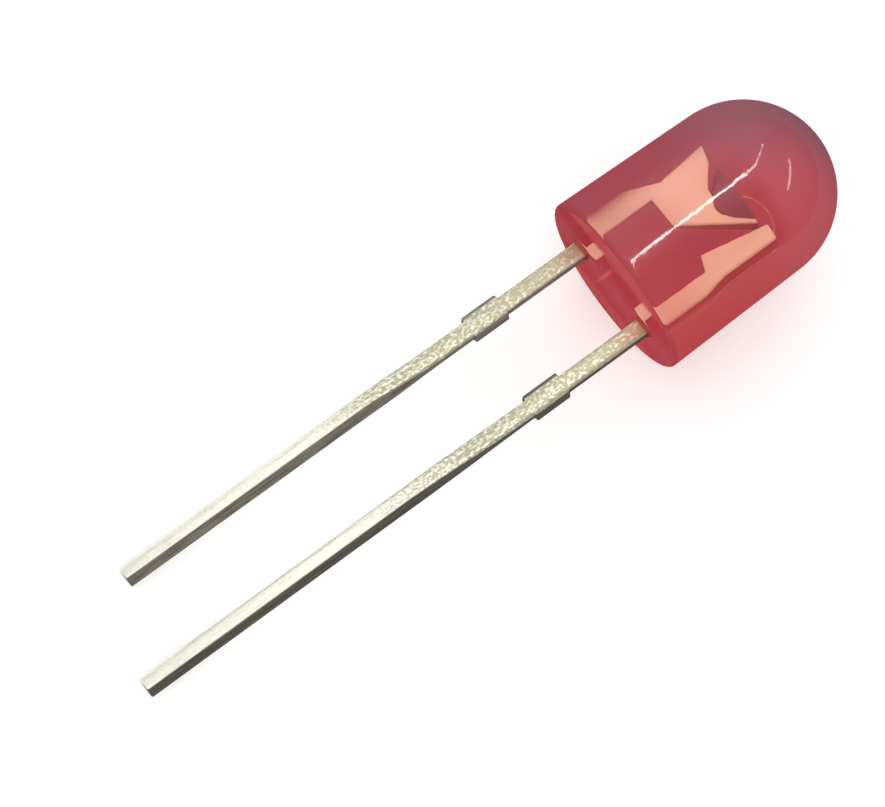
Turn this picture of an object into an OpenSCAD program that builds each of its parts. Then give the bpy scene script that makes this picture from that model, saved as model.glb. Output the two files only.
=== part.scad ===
// Round 5 mm through-hole LED without a flange, lying as it comes to rest: the rim of its base and
// the cut ends of both leads touch the ground. X runs along the body towards the dome, Z is up, and
// the origin is the centre of the body's flat base.

/* [Lens body] */
// Diameter of the body at its flat base
base_d = 5.0; // [4.9:0.05:5.6]
// Length of the body from the flat base to the top of the dome
lens_l = 6.55; // [6.3:0.05:9]
// Radius of the dome
dome_r = 2.4; // [2.2:0.05:2.44]
// Round on the edge of the flat base
base_edge_r = 0.1; // [0.05:0.05:0.2]

/* [Leads] */
// Distance between the centres of the two leads outside the body
pitch = 2.54; // [2.4:0.01:2.8]
// Width of a lead across the pair
lead_w = 0.45; // [0.35:0.05:0.55]
// Thickness of the strip that both leads are stamped from
strip_t = 0.45; // [0.35:0.05:0.5]
// Length of the cathode lead below the base
cathode_l = 14.2; // [8:0.1:28]
// Length of the anode lead below the base
anode_l = 15.4; // [8:0.1:30]
// Distance from the base to the sheared tie-bar stubs
stub_gap = 2.55; // [1:0.05:4]
// Length of a tie-bar stub along the lead
stub_l = 1.05; // [0.6:0.05:1.5]
// How far a tie-bar stub stands out from the side of its lead
stub_proud = 0.12; // [0.05:0.01:0.3]

/* [Lead frame inside the body] */
// Distance between the centres of the two shafts inside the body
shaft_pitch = 1.99; // [1.8:0.01:2.2]
// Width of a shaft inside the body
shaft_w = 0.42; // [0.3:0.01:0.5]
// Depth inside the body at which the leads start to step inwards
jog_start = 0.04; // [0.02:0.01:0.2]
// Length of that inward step along the lead
jog_l = 0.24; // [0.1:0.01:0.6]
// Height of the underside of the cathode head above the base
head_x = 1.93; // [1.6:0.01:2.1]
// Inner corner of the head's underside, from the axis of the body
head_root = 0.22; // [0.1:0.01:0.5]
// Height of the outer waist of the cathode head
waist_x = 2.4; // [2.2:0.01:2.8]
// Outer waist of the cathode head, from the axis of the body
waist_y = 0.94; // [0.8:0.01:1.1]
// Outer corner of the head's top, from the axis of the body
head_top = 1.02; // [0.8:0.01:1.15]
// Height of the underside of the anode post's foot
foot_x = 1.9; // [1.6:0.01:2.1]
// Inner corner of the post's foot, from the axis of the body
foot_y = 0.48; // [0.42:0.01:0.6]
// Height of the top of the anode post
post_x = 3.93; // [3.8:0.01:4.2]
// Width of the top of the anode post
post_top_w = 0.34; // [0.25:0.01:0.4]
// Outer side of the anode post, from the axis of the body
post_out = 1.08; // [1.04:0.01:1.2]

/* [Reflector cup] */
// Height of the rim of the cup above the base
rim_x = 3.75; // [3.6:0.01:3.85]
// Radius of the rim inside the cup
cup_r = 0.5; // [0.44:0.01:0.52]
// Depth of the cup
cup_depth = 0.35; // [0.3:0.01:0.45]
// Radius of the flat floor of the cup
floor_r = 0.25; // [0.23:0.01:0.3]
// Wall of the cup at its rim
cup_wall = 0.08; // [0.05:0.01:0.1]
// Half angle of the cup's outside
cup_angle = 28; // [20:1:32]
// Metal of the flat head beside the cup's rim
rim_margin = 0.04; // [0.02:0.01:0.06]

/* [Chip and wire] */
// Side of the square chip
chip_w = 0.3; // [0.2:0.01:0.32]
// Thickness of the chip
chip_t = 0.25; // [0.1:0.01:0.28]
// Thickness of the glue under the chip
glue_t = 0.02; // [0.01:0.005:0.03]
// Radius of the spot of glue
glue_r = 0.22; // [0.1:0.01:0.225]
// Diameter of the bond wire
wire_d = 0.04; // [0.03:0.005:0.05]
// Diameter of the ball on the chip
ball_d = 0.1; // [0.07:0.01:0.12]
// Rise of the wire's arc above the straight line between its ends
wire_rise = 0.33; // [0.28:0.01:0.5]
// Diameter of the pressed end on the post
stitch_d = 0.1; // [0.07:0.01:0.14]
// Thickness of the pressed end on the post
stitch_t = 0.02; // [0.01:0.005:0.03]

/* [Hidden] */
lens_fn = 96;
small_fn = 32;
past = 0.2;    // how far a cutter reaches past what it cuts

// Body outline: the side is the line from the base edge that touches the dome.
base_r = base_d/2;
dome_x = lens_l - dome_r;
draft = acos(dome_r/norm([base_r, dome_x])) - atan(dome_x/base_r);
edge_y = base_r - base_edge_r*tan(draft) - base_edge_r/cos(draft);

// Rest pose. Slope of the axis and roll about it that put the base edge and the outer cut corner
// of the cathode and inner cut corner of the anode on one plane.
turn_k = (anode_l - cathode_l)/pitch;
function slope(t, n) = n == 0 ? t : slope(
    (edge_y + base_edge_r*sqrt(1 + t*t) - strip_t/2*sqrt(1 - turn_k*turn_k*t*t))
    /(cathode_l + base_edge_r + (pitch + sign(turn_k)*lead_w)/2*turn_k), n - 1);
rest_slope = slope(0.15, 8);
lean = atan(rest_slope);
roll = asin(turn_k*rest_slope);

// Lead frame
lead_y = pitch/2;
shaft_y = shaft_pitch/2;
jog_end = jog_start + jog_l;
shoulder_l = waist_x - head_x;
cone_r = cup_r + cup_wall;
cone_l = (cone_r - floor_r/2)/tan(cup_angle);
foot_l = 0.15;         // length of the slanted corner of the post's foot
post_waist_l = 0.35;   // length over which the post narrows on its outside

// Chip and wire
cup_floor_x = rim_x - cup_depth;
chip_x = cup_floor_x + glue_t;
chip_top_x = chip_x + chip_t;
post_y = -(post_out - post_top_w/2);
wire_from = [chip_top_x + ball_d/4, 0];
wire_to = [post_x, post_y];
wire_span = norm(wire_to - wire_from);
wire_r = (wire_span*wire_span/4 + wire_rise*wire_rise)/(2*wire_rise);
wire_half = atan2(wire_span/2, wire_r - wire_rise);
wire_dir = atan2(wire_to[1] - wire_from[1], wire_to[0] - wire_from[0]);
wire_mid = (wire_from + wire_to)/2;
wire_centre = wire_mid - (wire_r - wire_rise)*[cos(wire_dir + 90), sin(wire_dir + 90)];
wire_extra = 6;        // degrees the arc runs on before it is cut flat on the post

// Turns a piece from the body's own axes to the way it lies.
module at_rest() rotate([0, -lean, 0]) rotate([-roll, 0, 0]) children();

// Turns a piece made along Z so that it runs along X.
module along_x() rotate([0, 90, 0]) children();

// Half of the body's section: radius across, height up.
module lens_section() {
    intersection() {
        union() {
            polygon([
                [0, 0],
                [edge_y, 0],
                [edge_y, base_edge_r],
                [edge_y + base_edge_r*cos(draft), base_edge_r + base_edge_r*sin(draft)],
                [dome_r*cos(draft), dome_x + dome_r*sin(draft)],
                [0, dome_x]
            ]);
            translate([edge_y, base_edge_r]) circle(base_edge_r, $fn = lens_fn);
            translate([0, dome_x]) circle(dome_r, $fn = lens_fn);
        }
        square([base_d, lens_l + past]);
    }
}

// Side of a straight lead with its tie-bar stub, at distance y from the axis, standing out by d.
function stub(y, d) = [[-stub_gap - stub_l, y], [-stub_gap - stub_l, y + d], [-stub_gap, y + d],
                       [-stub_gap, y]];

// The part of either outline that is the same: out along the inner side, back along the outer one.
// Both are drawn with the outside at +Y. head lists the points between the two sides of the shaft.
function lead_outline(l, head) = concat(
    [[-l, lead_y - lead_w/2]],
    stub(lead_y - lead_w/2, -stub_proud),
    [[jog_start, lead_y - lead_w/2], [jog_end, shaft_y - shaft_w/2]],
    head,
    [[jog_end, shaft_y + shaft_w/2], [jog_start, lead_y + lead_w/2]],
    [for (i = [3:-1:0]) stub(lead_y + lead_w/2, stub_proud)[i]],
    [[-l, lead_y + lead_w/2]]
);

module strip(points) linear_extrude(strip_t, center = true) polygon(points);

module cathode_shape() {
    difference() {
        union() {
            strip(lead_outline(cathode_l, [
                [head_x, shaft_y - shaft_w/2],
                [head_x, head_root],
                [rim_x, -cone_r - rim_margin],
                [rim_x, head_top],
                [waist_x, waist_y],
                [head_x - shoulder_l, shaft_y + shaft_w/2]
            ]));
            translate([rim_x - cone_l, 0, 0]) along_x()
                cylinder(h = cone_l, r1 = floor_r/2, r2 = cone_r, $fn = lens_fn);
        }
        // the cutter keeps the cup's slope past the rim
        translate([cup_floor_x, 0, 0]) along_x()
            cylinder(h = 2*cup_depth, r1 = floor_r, r2 = 2*cup_r - floor_r, $fn = lens_fn);
    }
}

module anode_shape() {
    mirror([0, 1, 0]) strip(lead_outline(anode_l, [
        [foot_x, shaft_y - shaft_w/2],
        [foot_x + foot_l, foot_y],
        [post_x, post_out - post_top_w],
        [post_x, post_out],
        [foot_x + post_waist_l, post_out],
        [foot_x - post_waist_l, shaft_y + shaft_w/2]
    ]));
}

module glue_shape() {
    translate([cup_floor_x, 0, 0]) along_x() cylinder(h = glue_t, r = glue_r, $fn = small_fn);
}

module chip_shape() {
    translate([chip_x, -chip_w/2, -chip_w/2]) cube([chip_t, chip_w, chip_w]);
}

module wire_shape() {
    // ball pressed flat on the chip
    difference() {
        translate([wire_from[0], wire_from[1], 0]) sphere(d = ball_d, $fn = small_fn);
        translate([chip_top_x - ball_d, -ball_d, -ball_d]) cube([ball_d, 2*ball_d, 2*ball_d]);
    }
    // arc from the ball to the post
    difference() {
        translate([wire_centre[0], wire_centre[1], 0])
            rotate([0, 0, wire_dir + 90 - wire_half - wire_extra])
                rotate_extrude(angle = 2*wire_half + wire_extra, $fn = lens_fn)
                    translate([wire_r, 0]) circle(d = wire_d, $fn = small_fn);
        translate([post_x - past, post_y - past, -past]) cube([past, 2*past, 2*past]);
    }
    // pressed end
    translate([post_x, post_y, 0]) along_x() cylinder(h = stitch_t, d = stitch_d, $fn = small_fn);
}

module lens() {
    color([0.76, 0.24, 0.28, 0.7]) at_rest() difference() {
        along_x() rotate_extrude($fn = lens_fn) lens_section();
        cathode_shape();
        anode_shape();
        glue_shape();
        chip_shape();
        wire_shape();
    }
}

module cathode_lead() {
    color([0.80, 0.79, 0.72]) at_rest() cathode_shape();
}

module anode_lead() {
    color([0.80, 0.79, 0.72]) at_rest() anode_shape();
}

module die_attach() {
    color([0.70, 0.70, 0.70]) at_rest() glue_shape();
}

module led_chip() {
    color([0.45, 0.22, 0.20]) at_rest() chip_shape();
}

module bond_wire() {
    color([0.85, 0.66, 0.25]) at_rest() wire_shape();
}

lens();
cathode_lead();
anode_lead();
die_attach();
led_chip();
bond_wire();
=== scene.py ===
"""Round 5 mm through-hole LED, lying on a pale studio floor.

The solids are drawn in the body's own axes in millimetres: X along the body towards its dome,
Y across the pair of leads with the cathode on the plus side, Z square to the lead frame, and the
origin at the centre of the flat base. Each finished piece is then turned the way the LED lies.
"""

import math

import bmesh
import bpy
from mathutils import Matrix, Vector


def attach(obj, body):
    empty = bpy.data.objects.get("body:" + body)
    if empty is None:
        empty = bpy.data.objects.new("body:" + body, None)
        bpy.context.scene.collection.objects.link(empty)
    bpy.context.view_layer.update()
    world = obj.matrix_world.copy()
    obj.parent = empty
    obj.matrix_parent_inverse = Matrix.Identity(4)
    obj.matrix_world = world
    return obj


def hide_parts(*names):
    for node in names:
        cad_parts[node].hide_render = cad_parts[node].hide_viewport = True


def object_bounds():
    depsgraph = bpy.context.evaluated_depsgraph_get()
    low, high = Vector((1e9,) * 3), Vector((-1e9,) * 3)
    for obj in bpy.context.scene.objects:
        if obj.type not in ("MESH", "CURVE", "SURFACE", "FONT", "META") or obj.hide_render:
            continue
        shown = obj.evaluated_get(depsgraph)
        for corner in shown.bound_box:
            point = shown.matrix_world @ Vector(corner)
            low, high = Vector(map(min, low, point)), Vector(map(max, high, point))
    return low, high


bl_info = {
    "name": "Through-hole LED",
    "version": (1, 0, 0),
    "blender": (4, 5, 0),
    "location": "View3D > Sidebar > LED",
    "description": "Builds a round 5 mm through-hole LED with its lead frame, lights and camera",
    "category": "Add Mesh",
}

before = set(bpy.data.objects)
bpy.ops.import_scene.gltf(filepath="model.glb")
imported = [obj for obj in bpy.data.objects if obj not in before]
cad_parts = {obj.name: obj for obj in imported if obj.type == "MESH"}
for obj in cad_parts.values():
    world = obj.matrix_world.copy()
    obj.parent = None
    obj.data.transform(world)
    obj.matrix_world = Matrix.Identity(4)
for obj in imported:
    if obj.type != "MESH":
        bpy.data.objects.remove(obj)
CAD_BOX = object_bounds()
BODY = "root"
MM = 0.001

# Lead frame inside the body, in millimetres
SHAFT_Y, SHAFT_W = 0.995, 0.42
JOG_START, JOG_END = 0.04, 0.28
HEAD_X, HEAD_ROOT = 1.93, 0.22
WAIST_X, WAIST_Y = 2.4, 0.94
FOOT_X, FOOT_Y, FOOT_L = 1.9, 0.48, 0.15
POST_X, POST_TOP_W, POST_OUT, POST_WAIST = 3.93, 0.34, 1.08, 0.35
RIM_X, CUP_R, CUP_DEPTH, CUP_FLOOR_R = 3.75, 0.5, 0.35, 0.25
CUP_WALL, CUP_ANGLE, RIM_MARGIN = 0.08, math.radians(28), 0.04
CUP_FLOOR_X = RIM_X - CUP_DEPTH
CUP_OUT_R = CUP_R + CUP_WALL
CONE_X = RIM_X - (CUP_OUT_R - CUP_FLOOR_R / 2) / math.tan(CUP_ANGLE)
HEAD_CORNER = (3.85, 1.045)
NOTCH = ((RIM_X, -0.46), (3.32, -0.275), (3.22, 0.0), (3.22, 0.36), (3.68, 0.73))

# Chip, glue and bond wire, in millimetres
GLUE_T, GLUE_R = 0.02, 0.22
WIRE_RISE = 0.33
STITCH_D, STITCH_T = 0.1, 0.02

# Attribute that keeps where a lead's points were before the lead was twisted, in millimetres
STRAIGHT = "straight"

# Tolerances in millimetres: for points that are one, for points on a plane, and for points on a
# ring or at an edge
JOINED, FLAT, ON_RING = 1e-5, 1e-4, 1e-3

# Resin: its refraction, the roughness of the clear part, the haze and the gloss, and the gloss
# on the wall and on the flat base
RESIN_IOR, CLEAR_ROUGH, HAZE_ROUGH, GLOSS_ROUGH = 1.53, 0.05, 0.5, 0.06
WALL_GLOSS, BASE_GLOSS = 0.015, 0.03
# from where to where its look changes, in millimetres along one axis of the body, among them where
# the painted shade of the collar, of the ring at the base edge and of the far side lies, and where
# the painted sheen towards the dome and across the base lies
WALL_X, COLLAR_X, EDGE_RING_X = (0.0003, 0.004), (-0.0005, -0.004), (0.14, 0.08)
FAR_SIDE_Y, FAR_DOME_X, DOMEWARD_X = (-2.4, 2.4), (5.2, 6.6), (1.0, 6.2)
DOME_MILK_X, ROOT_MILK_X, BASE_DEEP_Z = (3.5, 4.6), (2.2, 0.2), (1.2, 1.85)
SHEEN_Z, SHEEN_WIDTH = -0.3, (1.3, 0.1)
# and at the rim, by how far the surface turns away, from 0 to 1
RIM_FACING = (0.12, 0.5)
# shares of the tints, among them the painted shade of the far dome and of the edge ring and the
# painted sheen band on the base, and of the haze, and depth of the relief in millimetres
FAR_DOME_SHARE, CLOUDY_TINT, SHEEN_SHARE, EDGE_RING_SHARE = 0.45, 0.3, 0.7, 0.5
CLOUDY_MILK, RIM_MILK, ROOT_MILK, BASE_MILK, BASE_DEEP_MILK = 0.06, 0.83, 0.22, 0.4, 0.6
PITTING, RESIN_RELIEF = 0.8, 0.0016

# Strip of the leads: from where to where its look changes, in millimetres along one axis
OUTSIDE_X, STAINED_X = (0.0, -0.1), (-0.22, -0.10)
GRAINY_X, NEAR_BASE_X, CATHODE_Y = (-9.5, -4.5), (-3.5, -1.0), (-0.5, 0.5)
# and in from a broad face, out over a stub and off the surface of the cone, where the painted shade
# on the cup's outside lies
SIDE_IN, STUB_OUT, CONE_SKIN = (0.03, 0.075), (0.01, 0.05), (0.02, 0.008)
# what is left of the grain at the tips, what dulls the tin, and the tone of the sheared sides,
# which is partly painted shade, with painted light that makes the cathode's sides lighter
GRAIN_LEFT, GRAIN_DULL, GRAIN_EVEN, DRAWN_DULL, NEAR_BASE_DULL = 0.25, 0.8, 0.35, 0.3, 0.2
CATHODE_SIDES_PAINTED_LIGHT, DRAWN_DARKER, DRAWN_SHARE, STUB_SHARE = 1.9, 0.35, 0.6, 0.8
# how metallic it is outside and inside the body, and what its sides lose of that
METAL_OUT, METAL_SUNK, METAL_SIDE_LOSS = 0.6, 0.3, 0.5
# roughness of bright tin and what is added to it, and roughness inside the body
TIN_ROUGH, DULL_ROUGH, SIDE_ROUGH, STUB_ROUGH, SUNK_ROUGH = 0.15, 0.22, 0.2, 0.1, 0.5
# shares of the relief, what is left of it inside the body, and its depth in millimetres
GRAIN_RELIEF, FINE_RELIEF, DRAWN_RELIEF, SUNK_RELIEF = 0.25, 0.15, 0.35, 0.08
STRIP_RELIEF = 0.003


class LensSettings(bpy.types.PropertyGroup):
    """Sizes and colours of the moulded body."""

    base_diameter: bpy.props.FloatProperty(
        name="Base diameter", description="Diameter of the body at its flat base",
        default=0.005, min=0.003, max=0.012, precision=5, unit="LENGTH")
    length: bpy.props.FloatProperty(
        name="Length", description="From the flat base to the top of the dome",
        default=0.00655, min=0.004, max=0.02, precision=5, unit="LENGTH")
    dome_radius: bpy.props.FloatProperty(
        name="Dome radius", description="Radius of the rounded end",
        default=0.0024, min=0.001, max=0.006, precision=5, unit="LENGTH")
    edge_radius: bpy.props.FloatProperty(
        name="Edge radius", description="Round on the edge of the flat base",
        default=0.0001, min=0.00002, max=0.0004, precision=5, unit="LENGTH")
    clear: bpy.props.FloatVectorProperty(
        name="Clear resin", description="Colour that light keeps on its way through the surface",
        default=(0.97, 0.60, 0.53), size=3, min=0, max=1, subtype="COLOR")
    # The haze is the resin's own colour on the anode side; the cathode side is darker by painted
    # shade, and towards the dome a painted sheen turns it mauve
    haze: bpy.props.FloatVectorProperty(
        name="Haze", description="Colour of the milky filler on the anode side",
        default=(0.64, 0.068, 0.076), size=3, min=0, max=1, subtype="COLOR")
    far_haze_painted_shade: bpy.props.FloatVectorProperty(
        name="Far haze", description="Colour of the milky filler on the cathode side",
        default=(0.355, 0.052, 0.072), size=3, min=0, max=1, subtype="COLOR")
    dome_haze_and_painted_sheen: bpy.props.FloatVectorProperty(
        name="Dome haze", description="Colour of the dome's filler on the anode side",
        default=(0.60, 0.102, 0.125), size=3, min=0, max=1, subtype="COLOR")
    far_dome_haze_painted_shade_and_sheen: bpy.props.FloatVectorProperty(
        name="Far dome haze", description="Colour of the dome's filler on the cathode side",
        default=(0.28, 0.092, 0.120), size=3, min=0, max=1, subtype="COLOR")
    base_haze: bpy.props.FloatVectorProperty(
        name="Base haze", description="Colour of the milky filler in the flat base",
        default=(0.60, 0.070, 0.082), size=3, min=0, max=1, subtype="COLOR")
    # Painted sheen: a lighter band across the flat base
    base_sheen: bpy.props.FloatVectorProperty(
        name="Base sheen", description="Colour of the lighter band across the flat base",
        default=(0.76, 0.20, 0.22), size=3, min=0, max=1, subtype="COLOR")
    # Painted shade: darker resin round the leads and in a ring on the wall at the base edge
    collar_and_ring_painted_shade: bpy.props.FloatVectorProperty(
        name="Collar", description="Colour of the resin drawn up round the leads",
        default=(0.34, 0.035, 0.03), size=3, min=0, max=1, subtype="COLOR")
    deep_haze: bpy.props.FloatVectorProperty(
        name="Deep haze", description="Colour of the milky filler seen through the body",
        default=(0.50, 0.072, 0.165), size=3, min=0, max=1, subtype="COLOR")
    milkiness: bpy.props.FloatProperty(
        name="Milkiness", description="Share of the light that the filler scatters",
        default=0.17, min=0, max=1, subtype="FACTOR")
    deep_milkiness: bpy.props.FloatProperty(
        name="Deep milkiness", description="Share scattered for light that has crossed the body",
        default=0.98, min=0, max=1, subtype="FACTOR")
    dye: bpy.props.FloatVectorProperty(
        name="Dye", description="Colour that light keeps on its way through the resin",
        default=(0.97, 0.715, 0.715), size=3, min=0, max=1, subtype="COLOR")
    dye_strength: bpy.props.FloatProperty(
        name="Dye strength", description="How strongly the resin dyes light, for each metre",
        default=260.0, min=0, max=5000)


class LeadSettings(bpy.types.PropertyGroup):
    """Sizes and colours of the two leads."""

    pitch: bpy.props.FloatProperty(
        name="Pitch", description="Distance between the centres of the leads",
        default=0.00254, min=0.001, max=0.006, precision=5, unit="LENGTH")
    width: bpy.props.FloatProperty(
        name="Width", description="Width of a lead across the pair",
        default=0.00045, min=0.0002, max=0.001, precision=5, unit="LENGTH")
    thickness: bpy.props.FloatProperty(
        name="Thickness", description="Thickness of the strip that the leads are stamped from",
        default=0.00045, min=0.0002, max=0.001, precision=5, unit="LENGTH")
    cathode_length: bpy.props.FloatProperty(
        name="Cathode length", description="Length of the cathode lead below the base",
        default=0.0142, min=0.004, max=0.04, precision=5, unit="LENGTH")
    anode_length: bpy.props.FloatProperty(
        name="Anode length", description="Length of the anode lead below the base",
        default=0.0154, min=0.004, max=0.04, precision=5, unit="LENGTH")
    stub_distance: bpy.props.FloatProperty(
        name="Stub distance", description="From the base to the sheared tie-bar stubs",
        default=0.00255, min=0.001, max=0.01, precision=5, unit="LENGTH")
    stub_length: bpy.props.FloatProperty(
        name="Stub length", description="Length of a stub along its lead",
        default=0.00105, min=0.0003, max=0.002, precision=5, unit="LENGTH")
    stub_height: bpy.props.FloatProperty(
        name="Stub height", description="How far a stub stands out from its lead",
        default=0.00012, min=0.00002, max=0.0004, precision=5, unit="LENGTH")
    edge_radius: bpy.props.FloatProperty(
        name="Edge radius", description="Round that the tinning leaves on the edges",
        default=0.00004, min=0.00001, max=0.0001, precision=5, unit="LENGTH")
    cathode_twist: bpy.props.FloatProperty(
        name="Cathode twist", description="How far the cathode lead is turned beyond its stubs",
        default=math.radians(-32), min=-math.pi / 4, max=math.pi / 4, subtype="ANGLE")
    anode_twist: bpy.props.FloatProperty(
        name="Anode twist", description="How far the anode lead is turned beyond its stubs",
        default=math.radians(-28), min=-math.pi / 4, max=math.pi / 4, subtype="ANGLE")
    tin: bpy.props.FloatVectorProperty(
        name="Tin", description="Colour of the bright tinned faces",
        default=(0.90, 0.88, 0.77), size=3, min=0, max=1, subtype="COLOR")
    dull: bpy.props.FloatVectorProperty(
        name="Dull tin", description="Colour of the dull grains in the tin",
        default=(0.38, 0.36, 0.24), size=3, min=0, max=1, subtype="COLOR")
    stain: bpy.props.FloatVectorProperty(
        name="Stain", description="Colour of the stain where a lead leaves the resin",
        default=(0.30, 0.22, 0.10), size=3, min=0, max=1, subtype="COLOR")
    silver: bpy.props.FloatVectorProperty(
        name="Silver", description="Colour of the plating inside the body",
        default=(0.89, 0.87, 0.66), size=3, min=0, max=1, subtype="COLOR")
    # Painted shade: the silvered strip's sides inside the body are drawn dark red
    sunk_edge_painted_shade: bpy.props.FloatVectorProperty(
        name="Sunk edge", description="Colour of the strip's sides inside the body",
        default=(0.50, 0.07, 0.09), size=3, min=0, max=1, subtype="COLOR")
    # Painted shade: the silvered outside of the cup is drawn dark, and it is not metallic
    cup_shade: bpy.props.FloatVectorProperty(
        name="Cup shade", description="Colour of the outside of the cup",
        default=(0.29, 0.07, 0.12), size=3, min=0, max=1, subtype="COLOR")
    # Partly the sheared metal's own dull tone and partly painted shade; the cathode's sides are
    # made lighter by painted light
    sheared: bpy.props.FloatVectorProperty(
        name="Sheared metal", description="Colour of the stamped sides and the cut ends",
        default=(0.14, 0.125, 0.105), size=3, min=0, max=1, subtype="COLOR")


class ChipSettings(bpy.types.PropertyGroup):
    """Sizes and colours of the chip, its glue and its wire."""

    width: bpy.props.FloatProperty(
        name="Chip width", description="Side of the square chip",
        default=0.0003, min=0.0001, max=0.0006, precision=5, unit="LENGTH")
    thickness: bpy.props.FloatProperty(
        name="Chip thickness", description="Thickness of the chip",
        default=0.00025, min=0.00005, max=0.0003, precision=5, unit="LENGTH")
    wire_diameter: bpy.props.FloatProperty(
        name="Wire diameter", description="Diameter of the bond wire",
        default=0.00003, min=0.00001, max=0.0001, precision=5, unit="LENGTH")
    ball_diameter: bpy.props.FloatProperty(
        name="Ball diameter", description="Diameter of the ball on the chip",
        default=0.0001, min=0.00004, max=0.0002, precision=5, unit="LENGTH")
    chip_colour: bpy.props.FloatVectorProperty(
        name="Chip", description="Colour of the chip",
        default=(0.20, 0.035, 0.03), size=3, min=0, max=1, subtype="COLOR")
    gold: bpy.props.FloatVectorProperty(
        name="Gold", description="Colour of the wire and the contact pad",
        default=(0.58, 0.33, 0.13), size=3, min=0, max=1, subtype="COLOR")
    glue: bpy.props.FloatVectorProperty(
        name="Glue", description="Colour of the silver-filled glue",
        default=(0.62, 0.61, 0.58), size=3, min=0, max=1, subtype="COLOR")


class StageSettings(bpy.types.PropertyGroup):
    """Floor, lamps and camera."""

    floor: bpy.props.FloatVectorProperty(
        name="Floor", description="Colour of the floor",
        default=(0.88, 0.88, 0.88), size=3, min=0, max=1, subtype="COLOR")
    floor_lift: bpy.props.FloatProperty(
        name="Floor lift", description="What is added so that the open floor shows white",
        default=0.32, min=0, max=1)
    sky: bpy.props.FloatProperty(
        name="Sky", description="Level of the even light from above",
        default=0.86, min=0, max=2)
    glow: bpy.props.FloatProperty(
        name="Glow", description="What the soft glow overhead adds to the sky",
        default=0.5, min=0, max=20)
    strip: bpy.props.FloatProperty(
        name="Strip", description="Brightness of the narrow lamps",
        default=20.0, min=0, max=60)
    focal_length: bpy.props.FloatProperty(
        name="Focal length", description="Focal length of the camera, in millimetres",
        default=142.37, min=20, max=400, subtype="DISTANCE_CAMERA")


SETTINGS = {"led_lens": LensSettings, "led_leads": LeadSettings, "led_chip": ChipSettings,
            "led_stage": StageSettings}


# ---------------------------------------------------------------- sizes

class Sizes:
    """The user's sizes in millimetres, with what follows from them."""

    def __init__(self, scene):
        lens, leads, chip = scene.led_lens, scene.led_leads, scene.led_chip
        self.base_r = lens.base_diameter / MM / 2
        self.lens_l = lens.length / MM
        self.dome_r = lens.dome_radius / MM
        self.base_edge = lens.edge_radius / MM
        self.dome_x = self.lens_l - self.dome_r
        self.draft = (math.acos(self.dome_r / math.hypot(self.base_r, self.dome_x))
                      - math.atan(self.dome_x / self.base_r))
        self.lead_y = leads.pitch / MM / 2
        self.half_w = leads.width / MM / 2
        self.half_t = leads.thickness / MM / 2
        self.cathode_l = leads.cathode_length / MM
        self.anode_l = leads.anode_length / MM
        self.stub_start = leads.stub_distance / MM
        self.stub_end = self.stub_start + leads.stub_length / MM
        self.stub_proud = leads.stub_height / MM
        self.lead_edge = leads.edge_radius / MM
        self.chip_w = chip.width / MM
        self.chip_t = chip.thickness / MM
        self.wire_r = chip.wire_diameter / MM / 2
        self.ball_r = chip.ball_diameter / MM / 2
        self.chip_x = CUP_FLOOR_X + GLUE_T
        self.chip_top = self.chip_x + self.chip_t
        self.post_y = -(POST_OUT - POST_TOP_W / 2)

    def lie(self):
        """How the body lies: its base edge and the cut corners of both leads touch the floor."""
        k = (self.anode_l - self.cathode_l) / (2 * self.lead_y)
        edge_y = self.base_r - self.base_edge * (math.tan(self.draft) + 1 / math.cos(self.draft))
        # t is the tangent of the lean, which settles in a few rounds from a rough guess
        t = 0.15
        for _ in range(8):
            t = ((edge_y + self.base_edge * math.sqrt(1 + t * t)
                  - self.half_t * math.sqrt(1 - k * k * t * t))
                 / (self.cathode_l + self.base_edge
                    + (self.lead_y + math.copysign(self.half_w, k)) * k))
        return (Matrix.Rotation(-math.atan(t), 4, "Y")
                @ Matrix.Rotation(-math.asin(k * t), 4, "X"))


def sizes():
    """The sizes that are set in the scene now."""
    return Sizes(bpy.context.scene)


# ---------------------------------------------------------------- modelling

def path(bm, points):
    """A chain of edges through points given as (x, y)."""
    verts = [bm.verts.new((x, y, 0)) for x, y in points]
    for a, b in zip(verts, verts[1:]):
        bm.edges.new((a, b))
    return verts


def turn(bm, steps):
    """Spins the section drawn in the XY plane round the X axis into a closed solid."""
    bmesh.ops.spin(bm, geom=bm.verts[:] + bm.edges[:], cent=(0, 0, 0), axis=(1, 0, 0),
                   angle=math.tau, steps=steps, use_merge=True)
    close(bm)


def close(bm):
    """Joins the poles and turns every face outwards."""
    bmesh.ops.remove_doubles(bm, verts=bm.verts[:], dist=JOINED)
    bmesh.ops.recalc_face_normals(bm, faces=bm.faces[:])


def round_edges(bm, edges, radius, segments):
    """Rounds those edges."""
    bmesh.ops.bevel(bm, geom=edges, offset=radius, offset_type="OFFSET", affect="EDGES",
                    segments=segments, profile=0.5, material=-1, clamp_overlap=True)


def rim(bm, x, r):
    """The edges of the ring of that radius, at that place along the axis."""
    def on(v):
        return abs(v.co.x - x) < ON_RING and abs(math.hypot(v.co.y, v.co.z) - r) < ON_RING
    return [e for e in bm.edges if all(on(v) for v in e.verts)]


def slice_at(bm, geom, place, normal):
    """Cuts a mesh along a plane and keeps both parts."""
    bmesh.ops.bisect_plane(bm, geom=geom, dist=JOINED, plane_co=place, plane_no=normal)


def everything(bm):
    """All points, edges and faces of a mesh, in one list."""
    return bm.verts[:] + bm.edges[:] + bm.faces[:]


def smooth(bm, limit):
    """Smooth faces, with the edges left crisp that turn by more than limit degrees."""
    bm.normal_update()
    for f in bm.faces:
        f.smooth = True
    for e in bm.edges:
        e.smooth = len(e.link_faces) == 2 and e.calc_face_angle(0) < math.radians(limit)


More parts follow.
